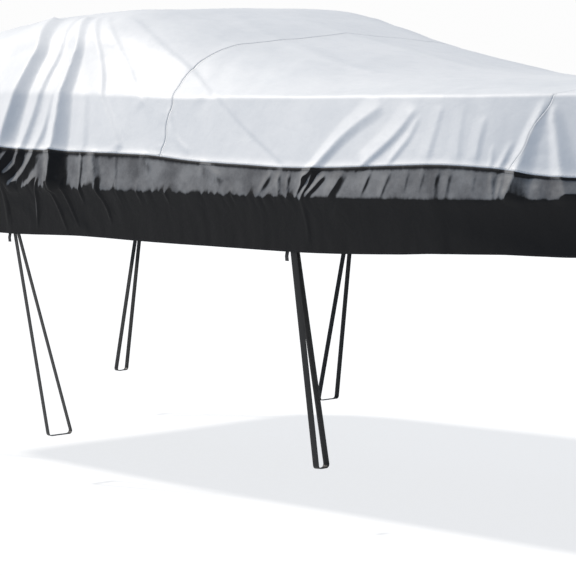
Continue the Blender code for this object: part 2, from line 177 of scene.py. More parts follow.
def sectionPoints(u):
    # plan position and height of the six levels of the section at each u
    row = {name: smoothBetween(stationU, rows[name], u) for name in stationColumns}
    reach = np.hypot(row["spineX"] - row["gunwaleX"], row["gunwaleY"])
    inwardX = (row["spineX"] - row["gunwaleX"]) / reach
    inwardY = row["gunwaleY"] / reach
    rise, drop = (smoothBetween(edges["u"], edges[name], u) for name in ("rise", "drop"))
    inset = np.stack([np.full_like(u, coverShape["hemTuck"]), np.zeros_like(u),
                      np.full_like(u, coverShape["bandLean"]), row["creaseInset"],
                      row["shoulderShare"] * reach, reach])
    height = np.stack([-drop, np.zeros_like(u), rise,
                       row["creaseHeight"], row["shoulderHeight"], row["ridgeHeight"]])
    x = row["gunwaleX"] + inset * inwardX
    y = row["gunwaleY"] - inset * inwardY
    z = (height + row["sheer"] - coverShape["ridgeAtOrigin"]
         + coverShape["clothThickness"] + coverShape["topGap"])
    return np.stack([x, y, z], axis=-1)


def sectionAt(corners, v):
    # point at level v of sections whose straight runs meet in round corners
    k = np.clip(np.floor(v).astype(int), 0, spine - 1)
    index = np.arange(len(v))
    t = (v - k)[:, None]
    straight = corners[k, index] * (1 - t) + corners[k + 1, index] * t
    nearest = np.clip(np.rint(v).astype(int), gunwale, shoulder)
    half = np.array(coverShape["levelRounding"])[nearest]
    inside = np.abs(v - nearest) < half
    w = np.where(half > 0, half, 1.0)[:, None]
    s = np.clip((v - nearest)[:, None] / (2 * w) + 0.5, 0, 1)
    corner = corners[nearest, index]
    before = corner + (corners[nearest - 1, index] - corner) * w
    after = corner + (corners[nearest + 1, index] - corner) * w
    rounded = before * (1 - s) ** 2 + corner * 2 * s * (1 - s) + after * s ** 2
    point = np.where(inside[:, None], rounded, straight)
    draw = np.where(v < gunwale, 4 * v * (1 - v), 0.0) * coverShape["bandDraw"]
    inward = corners[spine, index, :2] - corners[gunwale, index, :2]
    inward = inward / np.linalg.norm(inward, axis=1)[:, None]
    point[:, :2] += inward * draw[:, None]
    return point


def baseSurface(u, v, side):
    # the outer face without its folds; side is -1 to starboard
    point = sectionAt(sectionPoints(u), v)
    point[:, 1] *= side
    depth = coverShape["portLiftDepth"]
    hump = np.clip((point[:, 2] + depth) / depth, 0, 1)
    point[:, 2] += coverShape["portLift"] * hump * point[:, 1]
    return point


# Each fold's crest follows a line of (u, g). Its aft flank and its forward flank have their
# own widths at the line's two ends. Lift is out of the cloth at the two ends, or into it where
# it is negative, and crisp runs from 0, a soft swell, to 1, a sharp crest.
foldColumns = ("line", "aft", "fore", "lift", "crisp")
starboardFolds = (
    # silver cloth, fanning down from the corner of the windshield
    (((-0.41, 0.80), (-0.29, 0.60), (-0.287, 0.50), (-0.298, 0.35), (-0.316, 0.18), (-0.31, 0.00)),
     (0.12, 0.14), (0.033, 0.053), (0.020, 0.047), 0.95),
    (((-0.24, 0.80), (-0.155, 0.59), (-0.16, 0.44), (-0.17, 0.30), (-0.20, 0.16), (-0.23, 0.06)),
     (0.05, 0.05), (0.014, 0.020), (0.006, 0.012), 0.9),
    (((-0.09, 0.50), (-0.085, 0.35), (-0.095, 0.22), (-0.13, 0.10)),
     (0.03, 0.03), (0.012, 0.016), (0.005, 0.009), 0.9),
    (((-0.18, 0.78), (-0.055, 0.61), (-0.03, 0.50), (-0.018, 0.38), (-0.005, 0.25), (0.005, 0.12),
      (0.02, -0.02)),
     (0.040, 0.055), (0.019, 0.053), (0.010, 0.048), 1.0),
    (((-0.09, 0.76), (0.07, 0.59), (0.16, 0.47), (0.22, 0.36), (0.31, 0.24), (0.39, 0.12)),
     (0.05, 0.06), (0.012, 0.020), (0.006, 0.010), 0.9),
    (((-0.06, 0.78), (0.16, 0.62), (0.33, 0.48), (0.48, 0.33)),
     (0.060, 0.070), (0.008, 0.009), (0.003, 0.004), 1.0),
    (((0.06, 0.78), (0.40, 0.65), (0.61, 0.56), (0.84, 0.385)),
     (0.080, 0.080), (0.008, 0.009), (0.005, 0.004), 1.0),
    (((0.80, 0.418), (1.02, 0.26), (1.19, 0.16), (1.28, 0.11)),
     (0.080, 0.080), (0.009, 0.010), (-0.004, -0.006), 1.0),
    (((0.62, 0.33), (0.68, 0.21), (0.78, 0.14)), (0.02, 0.02), (0.012, 0.014), (0.004, 0.003), 0.8),
    (((0.11, 0.40), (0.14, 0.26), (0.17, 0.10)), (0.03, 0.04), (0.02, 0.02), (0.003, 0.005), 0.6),
    (((0.21, 1.22), (0.47, 1.09), (0.65, 1.08), (1.00, 0.92), (1.28, 0.82)),
     (0.05, 0.05), (0.05, 0.05), (0.003, 0.004), 0.5),
    # silver cloth, rising forward from the third tie-down
    (((1.37, 0.06), (1.43, 0.11), (1.55, 0.23), (1.71, 0.34)),
     (0.022, 0.05), (0.018, 0.026), (0.014, 0.006), 0.95),
    (((1.65, 0.11), (1.69, 0.14), (1.79, 0.23), (1.86, 0.33)),
     (0.04, 0.05), (0.014, 0.018), (0.010, 0.006), 0.9),
    (((1.77, 0.115), (1.80, 0.15), (1.85, 0.22), (1.88, 0.30)),
     (0.02, 0.03), (0.010, 0.014), (0.006, 0.003), 0.9),
    # silver cloth at the bow quarter, bunched where the foredeck seam meets the band
    (((2.37, 0.36), (2.33, 0.24), (2.30, 0.12), (2.27, -0.01)),
     (0.02, 0.03), (0.016, 0.055), (0.004, 0.020), 0.95),
    (((2.27, 0.22), (2.25, 0.16), (2.23, 0.10)), (0.015, 0.015), (0.010, 0.010), (0.002, 0.006), 0.9),
    (((2.20, 0.20), (2.20, 0.10)), (0.012, 0.012), (0.010, 0.010), (0.001, 0.004), 0.9),
    (((2.39, 0.34), (2.43, 0.22), (2.47, 0.10), (2.50, -0.01)),
     (0.012, 0.040), (0.020, 0.055), (0.006, 0.022), 0.95),
    (((2.58, 0.36), (2.61, 0.22), (2.65, 0.10), (2.68, -0.01)),
     (0.04, 0.06), (0.03, 0.05), (0.008, 0.014), 0.8),
    # faint drape marks between the third tie-down and the bow quarter
    (((1.97, 0.34), (1.95, 0.20), (1.94, 0.12)), (0.03, 0.03), (0.012, 0.016), (0.002, 0.004), 0.7),
    (((2.06, 0.34), (2.06, 0.20), (2.07, 0.12)), (0.03, 0.03), (0.012, 0.016), (0.001, 0.003), 0.7),
    (((2.15, 0.30), (2.14, 0.20), (2.14, 0.12)), (0.03, 0.03), (0.012, 0.016), (0.002, 0.005), 0.7),
    # charcoal band, drawn to the second tie-down
    (((-0.33, 0.01), (-0.30, 0.06), (-0.26, 0.12)), (0.012, 0.02), (0.012, 0.02), (0.006, 0.008), 0.9),
    (((-0.32, 0.00), (-0.25, 0.05), (-0.19, 0.12)), (0.012, 0.02), (0.014, 0.025), (0.007, 0.010), 0.9),
    (((-0.30, -0.01), (-0.20, 0.03), (-0.11, 0.12)), (0.012, 0.02), (0.014, 0.028), (0.007, 0.010), 0.9),
    (((-0.29, -0.02), (-0.18, -0.01), (-0.09, 0.04)), (0.010, 0.015), (0.012, 0.018), (0.004, 0.006), 0.8),
    (((-0.318, 0.02), (-0.326, -0.16)), (0.010, 0.010), (0.010, 0.010), (0.003, 0.002), 0.6),
    (((-0.09, 0.03), (-0.12, -0.07), (-0.14, -0.17)), (0.009, 0.007), (0.009, 0.007), (0.008, 0.002), 0.9),
    (((-0.04, 0.08), (-0.01, -0.01), (0.02, -0.11), (0.05, -0.18)),
     (0.009, 0.007), (0.009, 0.007), (0.009, 0.003), 0.9),
    (((0.06, 0.02), (0.09, -0.09), (0.12, -0.16)), (0.009, 0.007), (0.009, 0.007), (0.008, 0.002), 0.9),
    (((0.16, 0.12), (0.165, 0.03), (0.17, -0.06)), (0.009, 0.008), (0.009, 0.007), (0.003, 0.006), 0.9),
    (((0.26, 0.02), (0.30, -0.06), (0.32, -0.14)), (0.009, 0.007), (0.009, 0.007), (0.008, 0.002), 0.9),
    (((0.225, 0.12), (0.25, 0.06), (0.28, 0.00)), (0.03, 0.03), (0.022, 0.018), (0.013, 0.011), 1.0),
    (((0.36, 0.12), (0.38, 0.02), (0.40, -0.05)), (0.02, 0.02), (0.010, 0.008), (0.003, 0.003), 0.8),
    (((0.51, 0.12), (0.55, 0.09), (0.58, 0.06)), (0.02, 0.02), (0.014, 0.010), (0.007, 0.003), 0.9),
    (((0.50, 0.03), (0.52, -0.05)), (0.010, 0.008), (0.008, 0.008), (0.005, 0.002), 0.8),
    (((0.66, 0.02), (0.68, -0.05)), (0.010, 0.008), (0.008, 0.008), (0.005, 0.002), 0.8),
    (((0.84, 0.11), (0.90, 0.09), (0.98, 0.05)), (0.03, 0.03), (0.012, 0.012), (0.006, 0.004), 0.9),
    (((1.02, 0.03), (1.05, -0.03)), (0.012, 0.010), (0.010, 0.010), (0.004, 0.002), 0.8),
    # charcoal band, bunched at the third tie-down
    (((1.17, 0.01), (1.20, 0.06), (1.22, 0.10)), (0.015, 0.015), (0.012, 0.012), (0.006, 0.004), 0.8),
    (((1.26, 0.10), (1.262, 0.05), (1.28, 0.00)), (0.012, 0.012), (0.009, 0.009), (0.005, 0.006), 0.9),
    (((1.31, 0.10), (1.308, 0.05), (1.32, 0.00)), (0.010, 0.012), (0.009, 0.009), (0.005, 0.007), 0.9),
    (((1.40, 0.10), (1.378, 0.05), (1.355, 0.00)), (0.011, 0.010), (0.009, 0.009), (0.006, 0.007), 1.0),
    (((1.44, 0.10), (1.41, 0.05), (1.375, -0.01)), (0.011, 0.010), (0.009, 0.009), (0.006, 0.007), 1.0),
    (((1.49, 0.09), (1.44, 0.04), (1.395, 0.00)), (0.012, 0.010), (0.011, 0.010), (0.006, 0.006), 0.9),
    (((1.38, 0.00), (1.385, -0.10), (1.385, -0.16)), (0.010, 0.010), (0.010, 0.010), (0.0025, 0.002), 0.6),
    (((1.575, 0.10), (1.545, 0.05), (1.51, 0.00)), (0.03, 0.03), (0.018, 0.020), (0.007, 0.007), 0.9),
    (((1.70, 0.10), (1.68, 0.05), (1.66, 0.01)), (0.03, 0.02), (0.007, 0.009), (0.003, 0.003), 0.8),
    (((1.79, 0.10), (1.77, 0.05), (1.75, 0.00)), (0.02, 0.02), (0.009, 0.008), (0.0028, 0.0025), 0.9),
    (((1.87, 0.10), (1.86, 0.05), (1.86, 0.01)), (0.02, 0.02), (0.008, 0.007), (0.002, 0.0015), 0.9),
    (((1.94, 0.10), (1.93, 0.06), (1.92, 0.02)), (0.02, 0.02), (0.009, 0.007), (0.002, 0.0015), 0.9),
    (((2.00, 0.10), (1.99, 0.05), (2.00, 0.00)), (0.02, 0.02), (0.010, 0.010), (0.0042, 0.0035), 0.9),
    (((2.05, 0.10), (2.04, 0.05), (2.04, 0.00)), (0.02, 0.02), (0.010, 0.009), (0.0036, 0.003), 0.9),
    (((2.14, 0.10), (2.14, 0.04), (2.15, 0.01)), (0.02, 0.02), (0.009, 0.008), (0.002, 0.0015), 0.8),
    # charcoal band at the bow quarter
    (((2.21, 0.10), (2.215, 0.05), (2.23, 0.00)), (0.012, 0.012), (0.012, 0.012), (0.006, 0.005), 0.9),
    (((2.25, 0.10), (2.245, 0.05), (2.24, 0.00)), (0.010, 0.010), (0.009, 0.009), (0.005, 0.005), 1.0),
    (((2.37, 0.08), (2.39, 0.04), (2.41, 0.00)), (0.020, 0.020), (0.014, 0.014), (0.004, 0.004), 0.8),
)
portFolds = (
    (((-0.30, 0.84), (-0.20, 0.60), (-0.22, 0.40), (-0.26, 0.05)),
     (0.08, 0.10), (0.04, 0.07), (0.014, 0.026), 0.7),
    (((-0.12, 0.80), (-0.05, 0.55), (-0.08, 0.30), (-0.12, 0.08)),
     (0.03, 0.05), (0.03, 0.04), (0.004, 0.010), 0.7),
    (((-0.06, 0.78), (0.04, 0.55), (0.06, 0.36), (0.12, 0.06)),
     (0.035, 0.11), (0.03, 0.05), (0.010, 0.030), 0.9),
    (((0.00, 0.76), (0.20, 0.50), (0.36, 0.22)), (0.03, 0.05), (0.03, 0.05), (0.004, 0.008), 0.6),
    (((0.06, 0.76), (0.45, 0.60), (0.90, 0.36), (1.24, 0.10)),
     (0.05, 0.05), (0.05, 0.05), (0.009, 0.013), 0.7),
    (((1.36, 0.05), (1.55, 0.20), (1.80, 0.35)), (0.05, 0.05), (0.03, 0.04), (0.012, 0.006), 0.8),
    (((2.42, 0.38), (2.35, 0.22), (2.30, 0.05)), (0.04, 0.04), (0.04, 0.05), (0.006, 0.013), 0.8),
    (((2.60, 0.38), (2.66, 0.20), (2.72, 0.04)), (0.05, 0.06), (0.04, 0.05), (0.006, 0.009), 0.7),
)

foldShape = {
    "reach": 1.5,           # of a flank's width, from the crest to where its lift ends
    "sharpness": 1.25,      # of the flanks of a crisp crest
    "fadeIn": 0.04, "fadeOut": 0.05, "endLift": 0.2,        # along the line, at its two ends
}

# Gathers fan up from the hem at each tie-down where the band has no folds of its own.
gathers = {
    "starboard": (-1.70, 2.90), "port": (-1.70, -0.30, 1.295, 2.90),
    "count": 7, "spread": 0.16, "footShare": 0.35, "fan": 2.2,
    "top": 0.10, "topFade": 0.10, "bottom": -0.16, "bottomFade": 0.12,
    "width": 0.016, "lift": 0.006, "sharpness": 1.5, "outerLoss": 0.5,
}

# Small unevenness of the cloth between its folds, as heights, with sizes along the boat and up
# the cloth.
unevenness = {
    "swell": 0.0035, "swellSize": (0.34, 0.476),                # slack in the wide panels
    "fineSwell": 0.00175, "fineSwellSize": (0.1619, 0.2), "swellFrom": 0.06, "swellFade": 0.12,
    "ripple": 0.0011, "rippleSize": (0.06, 0.192), "rippleLean": 0.35,      # fine drape marks
    "hemPucker": 0.0010, "hemPuckerSize": (0.035, 0.22), "hemPuckerTop": 0.02, "hemPuckerFade": 0.10,
    "bendPucker": 0.0040, "bendPuckerSize": (0.040, 0.12), "bendPuckerLean": 0.25,
    "bendReach": 0.045, "bendSoftness": 0.8,
    "seamPucker": 0.0007, "seamPuckerSize": (0.05, 0.022), "seamReach": 0.030,
    "seamFrom": 0.10, "seamFade": 0.05,
    "flare": 0.0038, "flareOver": 0.017, "flareUnder": 0.00567,     # where the band is sewn on
    "wander": 0.018, "wanderSize": 0.085, "wanderReach": 0.090, "wanderFrom": 0.12, "wanderFade": 0.1,
    "spineCalm": 0.5, "bowCalm": 0.3, "sternCalm": 0.1,     # the folds die away toward these
}
noiseSeeds = {"starboard": 3, "port": 8, "seams": 21, "spikes": 31, "fineSpike": 32}

# How puckered the bend over the gunwale is, and how ragged the painted light's edge is along it, as (u,
# share).
bendRaggedness = ((-2.0, 0.6), (-0.4, 1.0), (0.25, 1.0), (0.45, 0.6), (1.1, 0.6), (1.35, 0.7),
                  (1.50, 0.12), (2.15, 0.10), (2.30, 0.35), (2.6, 0.2), (4.2, 0.4))


def smoothLine(points, steps=6):
    # a smooth line through a fold's points
    points = np.array(points, float)
    if len(points) < 3:
        return points
    ends = np.vstack([2 * points[0] - points[1], points, 2 * points[-1] - points[-2]])
    line = []
    for a, b, c, d in zip(ends[:-3], ends[1:-2], ends[2:-1], ends[3:]):
        for t in np.arange(steps) / steps:
            line.append(0.5 * (2 * b + (c - a) * t + (2 * a - 5 * b + 4 * c - d) * t ** 2
                               + (3 * b - a - 3 * c + d) * t ** 3))
    return np.array(line + [points[-1]])


def acrossLine(u, g, line):
    # signed distance from the line, positive forward of it, and how far along it, 0 to 1
    lengths = np.hypot(*np.diff(line, axis=0).T)
    starts = np.concatenate(([0.0], np.cumsum(lengths)))
    best = np.full(u.shape, np.inf)
    signed = np.zeros_like(u)
    share = np.zeros_like(u)
    for k, (start, end) in enumerate(zip(line[:-1], line[1:])):
        run = (end - start) / lengths[k]
        along = (u - start[0]) * run[0] + (g - start[1]) * run[1]
        held = np.clip(along, 0, lengths[k])
        du, dg = u - start[0] - held * run[0], g - start[1] - held * run[1]
        away = np.hypot(du, dg)
        nearer = away < best
        best = np.where(nearer, away, best)
        forward = (u - start[0]) * run[1] - (g - start[1]) * run[0]
        signed = np.where(nearer, np.where(forward * np.sign(run[1] or 1) > 0, away, -away), signed)
        share = np.where(nearer, (starts[k] + held) / starts[-1], share)
    return signed, share, starts[-1]


def between(pair, share):
    return pair[0] + (pair[1] - pair[0]) * share


def smoothStep(t):
    t = np.clip(t, 0, 1)
    return t * t * (3 - 2 * t)


def foldLift(u, g, folds):
    # how far the folds lift the cloth at each place
    d = foldShape
    total = np.zeros_like(u)
    for values in folds:
        fold = dict(zip(foldColumns, values))
        line = smoothLine(fold["line"])
        margin = d["reach"] * max(*fold["aft"], *fold["fore"])
        low, high = line.min(axis=0) - margin, line.max(axis=0) + margin
        near = (u > low[0]) & (u < high[0]) & (g > low[1]) & (g < high[1])
        if not near.any():
            continue
        across, share, length = acrossLine(u[near], g[near], line)
        width = np.where(across > 0, between(fold["fore"], share), between(fold["aft"], share))
        t = np.clip(1 - np.abs(across) / (width * d["reach"]), 0, 1)
        profile = fold["crisp"] * t ** d["sharpness"] + (1 - fold["crisp"]) * smoothStep(t)
        fade = (smoothStep(share * length / d["fadeIn"] + d["endLift"])
                * smoothStep((1 - share) * length / d["fadeOut"] + d["endLift"]))
        total[near] += between(fold["lift"], share) * profile * fade
    return total


def gatherLift(u, g, centres):
    d = gathers
    total = np.zeros_like(u)
    reach = smoothStep((d["top"] - g) / d["topFade"]) * smoothStep((g - d["bottom"]) / d["bottomFade"])
    for centre in centres:
        for k in range(d["count"]):
            offset = (k / (d["count"] - 1) - 0.5) * d["spread"]
            lean = offset * (g - d["bottom"]) * d["fan"]
            across = np.abs(u - centre - offset * d["footShare"] - lean) / d["width"]
            height = d["lift"] * (1 - d["outerLoss"] * abs(offset) / d["spread"])
            total += height * np.clip(1 - across, 0, 1) ** d["sharpness"] * reach
    return total


def latticeValue(i, j, seed):
    # a value from -1 to 1 that looks random but is the same in every run
    spun = np.sin(i * 127.1 + j * 311.7 + seed * 74.7) * 43758.5453
    return (spun - np.floor(spun)) * 2 - 1


def softNoise(a, b, seed):
    # smooth between the lattice's values
    i, j = np.floor(a), np.floor(b)
    s, t = smoothStep(a - i), smoothStep(b - j)
    low = latticeValue(i, j, seed) * (1 - s) + latticeValue(i + 1, j, seed) * s
    high = latticeValue(i, j + 1, seed) * (1 - s) + latticeValue(i + 1, j + 1, seed) * s
    return low * (1 - t) + high * t


def unevenLift(u, g, side):
    d = unevenness
    seed = noiseSeeds["starboard" if side < 0 else "port"]

    def noise(size, turn, lean=0.0):
        return softNoise((u + lean * g) / size[0], g / size[1], seed + turn)

    total = d["swell"] * noise(d["swellSize"], 0) + d["fineSwell"] * noise(d["fineSwellSize"], 1)
    total *= smoothStep((g - d["swellFrom"]) / d["swellFade"])
    total += d["ripple"] * noise(d["rippleSize"], 2, d["rippleLean"])
    low = smoothStep((d["hemPuckerTop"] - g) / d["hemPuckerFade"])
    total += d["hemPucker"] * low * noise(d["hemPuckerSize"], 3)
    bend = np.exp(-(g / d["bendReach"]) ** 2) * np.interp(u, *np.array(bendRaggedness).T)
    pucker = np.abs(noise(d["bendPuckerSize"], 4, d["bendPuckerLean"])) ** d["bendSoftness"]
    total += d["bendPucker"] * bend * pucker
    overSeam = g - coverShape["levelGirth"][bandSeam]
    reach = np.where(overSeam < 0, d["flareUnder"], d["flareOver"])
    total += d["flare"] * np.exp(-(overSeam / reach) ** 2)
    for seamU in crossSeams:
        close = np.exp(-((u - seamU) / d["seamReach"]) ** 2) * smoothStep((g - d["seamFrom"]) / d["seamFade"])
        total += d["seamPucker"] * close * noise(d["seamPuckerSize"], 5)
    return total


def leanWithSeam(u, g):
    # the foredeck seam leans aft under the crease, and the cloth beside it with it
    d = coverShape
    low, high = d["levelGirth"][bandSeam], d["levelGirth"][crease]
    below = np.clip((high - g) / (high - low), 0, 1) * (g > low)
    return u - d["seamForeLean"] * below * np.exp(-((u - d["seamForeU"]) / d["seamForeReach"]) ** 2)


def wander(u, g):
    # the cross seams don't run quite straight
    d = unevenness
    moved = leanWithSeam(u, g)
    for seamU in crossSeams:
        close = np.exp(-((u - seamU) / d["wanderReach"]) ** 2)
        close *= smoothStep((g - d["wanderFrom"]) / d["wanderFade"])
        moved += d["wander"] * close * softNoise(g / d["wanderSize"], 0 * g, noiseSeeds["seams"])
    return moved


def coverSurface(u, v, side):
    # outer face with its folds, each point moved along the base face's normal
    u = wander(u, girthAt(v))
    point = baseSurface(u, v, side)
    step = 0.004        # to each side, for the slopes that give the normal
    uLow, uHigh = np.maximum(u - step, sternU), np.minimum(u + step, bowU)
    vLow, vHigh = np.maximum(v - step, hem), np.minimum(v + step, spine)
    along = baseSurface(uHigh, v, side) - baseSurface(uLow, v, side)
    up = baseSurface(u, vHigh, side) - baseSurface(u, vLow, side)
    normal = np.cross(along, up) * -side
    size = np.linalg.norm(normal, axis=1)
    normal = normal / np.where(size > 0, size, 1.0)[:, None]
    g = girthAt(v)
    lift = (foldLift(u, g, starboardFolds if side < 0 else portFolds)
            + gatherLift(u, g, gathers["starboard" if side < 0 else "port"]) + unevenLift(u, g, side))
    d = unevenness
    lift *= (smoothStep((spine - v) / d["spineCalm"]) * smoothStep((bowU - u) / d["bowCalm"])
             * smoothStep((u - sternU) / d["sternCalm"]))
    return point + normal * lift[:, None], lift


def girthAt(v):
    return np.interp(v, range(spine + 1), coverShape["levelGirth"])


def levelShare(level, distance):
    girth = coverShape["levelGirth"]
    return distance / (girth[level + 1] - girth[level])


# The tie-down loops follow the CAD's own route.
webbingShape = {
    "width": 0.025, "thickness": 0.0016, "flatShare": 0.4,
    "railCorner": 0.014,        # turn of the loop under each edge of the rail
    "topRadius": 0.008,         # and at its top, which lies over the hem by hidden
    "hidden": 0.012,
    "clearance": 0.009,         # from the hem's outer face in to the loop
    "arcSteps": 6, "runSteps": 14,
    "tailWidth": 0.018, "tailOffset": 0.029,
}

# The tail's line, as (inboard, up) from the top of its loop at the hem.
tailLine = ((0.001, 0.016), (0.000, 0.000), (-0.004, -0.016), (-0.002, -0.034))

# Each loop's place and the rail it goes round: how far in from the hem, how wide, how far
# forward of the place above, the webbing's turn in degrees, and the rail's underside.
strapColumns = ("u", "footInset", "footWidth", "footForward", "turn", "bottomZ")
straps = [dict(zip(strapColumns, values)) for values in (
    (-1.700, 0.13, 0.075, 0.00, 0.0, -1.74),
    (-0.300, 0.14, 0.120, 0.03, -6.0, -1.76),
    (1.295, 0.12, 0.055, 0.00, 18.0, -1.72),
    (2.900, 0.10, 0.055, 0.00, 0.0, -1.69),
)]


def arc(centre, radius, start, end, steps):
    angles = np.radians(np.linspace(start, end, steps + 1))
    return [(centre[0] + radius * math.cos(a), centre[1] + radius * math.sin(a)) for a in angles]


def runBetween(start, end, steps):
    return [tuple(np.array(start) + (np.array(end) - np.array(start)) * i / steps) for i in range(1, steps)]


def strapLoop(hemZ, strap):
    # the loop's line, as (inboard of the hem, height), from its top round the rail
    bottom, width, inset = strap["bottomZ"], strap["footWidth"], strap["footInset"]
    radius, turn = webbingShape["railCorner"], webbingShape["topRadius"]
    bends, steps = webbingShape["arcSteps"], webbingShape["runSteps"]
    top = (turn, hemZ + webbingShape["hidden"])
    crown = arc(top, turn, 90, 180, bends)
    outerTurn = arc((inset + radius, bottom + radius), radius, 180, 270, bends)
    innerTurn = arc((inset + width - radius, bottom + radius), radius, 270, 360, bends)
    back = arc(top, turn, 0, 90, bends)[:-1]
    return (crown + runBetween(crown[-1], outerTurn[0], steps) + outerTurn
            + innerTurn + runBetween(innerTurn[-1], back[0], steps) + back)


def webbingSection(width, thickness):
    # a flat strip with rounded selvedges, as (across, through) pairs
    half, deep = width / 2, thickness / 2
    flat = half * webbingShape["flatShare"]
    side = [(half - deep + deep * math.cos(a), deep * math.sin(a)) for a in np.radians((-60, -20, 20, 60))]
    oneHalf = [(-flat, -deep), (flat, -deep)] + side
    return oneHalf + [(-across, -through) for across, through in oneHalf]


def webbingStrip(name, centres, across, width, closed, finish):
    # sweeps the section along the line; its width lies along one level direction
    section = webbingSection(width, webbingShape["thickness"])
    count, around = len(centres), len(section)
    builder = bmesh.new()
    rings = []
    for i, centre in enumerate(centres):
        before = centres[i - 1] if closed or i else centres[i]
        after = centres[(i + 1) % count] if closed or i < count - 1 else centres[i]
        through = (after - before).normalized().cross(across).normalized()
        rings.append([builder.verts.new(centre + across * a + through * t) for a, t in section])
    for i in range(count if closed else count - 1):
        for j in range(around):
            builder.faces.new((rings[i][j], rings[(i + 1) % count][j],
                               rings[(i + 1) % count][(j + 1) % around], rings[i][(j + 1) % around]))
    if not closed:
        builder.faces.new(rings[0])
        builder.faces.new(rings[-1][::-1])
    bmesh.ops.recalc_face_normals(builder, faces=builder.faces)
    uvLayer = builder.loops.layers.uv.new("cut")
    lengths = np.concatenate(([0.0], np.cumsum([(b - a).length for a, b in zip(centres, centres[1:])])))
    where = {vert: (section[j][0], lengths[i]) for i, ring in enumerate(rings) for j, vert in enumerate(ring)}
    for face in builder.faces:
        for loop in face.loops:
            loop[uvLayer].uv = where[loop.vert]
    mesh = bpy.data.meshes.new(name)
    builder.to_mesh(mesh)
    builder.free()
    return finishPiece(name, mesh, finish)


def finishPiece(name, mesh, finish):
    mesh.materials.append(finish)
    mesh.shade_smooth()
    piece = bpy.data.objects.new(name, mesh)
    bpy.context.scene.collection.objects.link(piece)
    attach(piece, "root")
    return piece


def makeStrap(label, strap, side, finish):
    step = 0.01     # to each side, for the hem's direction
    u = np.array([strap["u"] - step, strap["u"], strap["u"] + step])
    behind, hemPoint, ahead = (Vector(p) for p in baseSurface(u, np.full(3, float(hem)), side))
    forward = (ahead - behind).normalized()
    inboard = Vector((0, 0, -side)).cross(forward).normalized()
    start = hemPoint + inboard * webbingShape["clearance"]
    start.z = 0.0
    drop = hemPoint.z - strap["bottomZ"]
    centres = []
    for inward, z in strapLoop(hemPoint.z, strap):
        lean = strap["footForward"] * min(1.0, max(0.0, (hemPoint.z - z) / drop))
        centres.append(start + inboard * inward + forward * lean + Vector((0, 0, z)))
    turn = math.radians(strap["turn"])
    across = forward * math.cos(turn) + inboard * math.sin(turn)
    loop = webbingStrip(f"tie_loop_{label}", centres, across, webbingShape["width"], True, finish)
    hang = [start + inboard * inward - forward * webbingShape["tailOffset"] + Vector((0, 0, hemPoint.z + up))
            for inward, up in tailLine]
    tail = webbingStrip(f"tie_tail_{label}", hang, forward, webbingShape["tailWidth"], False, finish)
    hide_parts(f"strap_{label}")
    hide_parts(f"tail_{label}")


def hexColour(code):
    # an sRGB hex value as linear RGBA
    channels = [int(code[i:i + 2], 16) / 255 for i in (1, 3, 5)]
    return [c / 12.92 if c <= 0.04045 else ((c + 0.055) / 1.055) ** 2.4 for c in channels] + [1.0]


def addNode(tree, kind, settings=None, links=None):
    # adds one node, sets its properties and sockets, and links its inputs
    node = tree.nodes.new(kind)
    for key, value in (settings or {}).items():
        if isinstance(key, str) and hasattr(node, key):
            setattr(node, key, value)
        else:
            node.inputs[key].default_value = value
    for key, source in (links or {}).items():
        tree.links.new(source, node.inputs[key])
    return node


def newFinish(name):
    finish = bpy.data.materials.new(name)
    finish.use_nodes = True
    tree = finish.node_tree
    return finish, tree, tree.nodes["Principled BSDF"]


def bandsPerMetre(pitch):
    # the Wave texture's scale that gives one band each pitch, on coordinates in metres
    return 2 * math.pi / (20 * pitch)


# Both cloths are 600 denier polyester woven plain, with a felled and stitched edge at each seam.
clothWeave = {
    "threadPitch": 0.0028,      # the yarn is 0.5 mm, drawn coarser to show
    "weaveDepth": 0.00010, "creaseSize": 0.045,
    "stitchPitch": 0.009,       # real stitches are 4 mm, drawn longer to show
    "stitchGap": 0.14, "stitchWidth": 0.0024, "stitchInset": 0.007, "stitchDepth": 0.0008,
    "seamWidth": 0.012, "seamStep": 0.002, "seamHeight": 0.0008,
}

# Coated with acrylic: a cool, even white with a soft satin sheen, that goes dull and slightly
# grey where it has rubbed.
silverFinish = {
    "name": "acrylic-coated woven polyester, silver",
    "light": "#EFF1F4", "shade": "#DFE3E8", "worn": "#CBD1D8", "thread": "#8F969F", "edge": "#8F969F",
    "roughness": (0.45, 0.60), "ior": 1.47, "sheen": 0.15, "creaseDepth": 0.0016,
    "toneSize": 0.4545, "toneShare": 0.55, "rubSize": 0.0714, "rubShare": 0.30,
    "threadShare": 0.30, "edgeShare": 0.22, "edgeFrom": 0.0050, "edgeTo": 0.0015,
}

# The same cloth dyed dark: near black, which also stands as its painted shade, with a painted
# sunlit sheen of chalky grey on the faces that look up at the sky and aft.
charcoalFinish = {
    "name": "acrylic-coated woven polyester, charcoal",
    "dark": "#0E0F12", "paintedLitGrey": "#606164", "paintedLitPale": "#8A8B8D", "thread": "#202226", "edge": "#1A1C22",
    "roughness": 0.62, "ior": 1.47, "gloss": 0.22, "creaseDepth": 0.0030,
    "paintedLitFrom": -0.10, "paintedLitTo": 0.12,      # of the painted light's level, where the painted sunlit grey starts and is full
    "patchSize": 0.1111, "streakWidth": 0.018, "streakLength": 0.09,
    "paintedLitNudge": (-0.10, 0.06),             # that the patches and streaks add to the painted light's level
    "threadShare": 0.5, "edgeShare": 0.4, "edgeFrom": 0.007, "edgeTo": 0.002,
}

# Polypropylene webbing, woven with ribs along it: black, with painted shade in the weave's hollows and a
# painted highlight on the ribs.
webbingFinish = {
    "name": "woven polypropylene webbing, black", "deep": "#0C0D0F", "rib": "#1A1C1F",
    "roughness": 0.48, "ior": 1.49,
    "ribPitch": 0.0031, "pickPitch": 0.0026, "ribDepth": 0.0003,
}


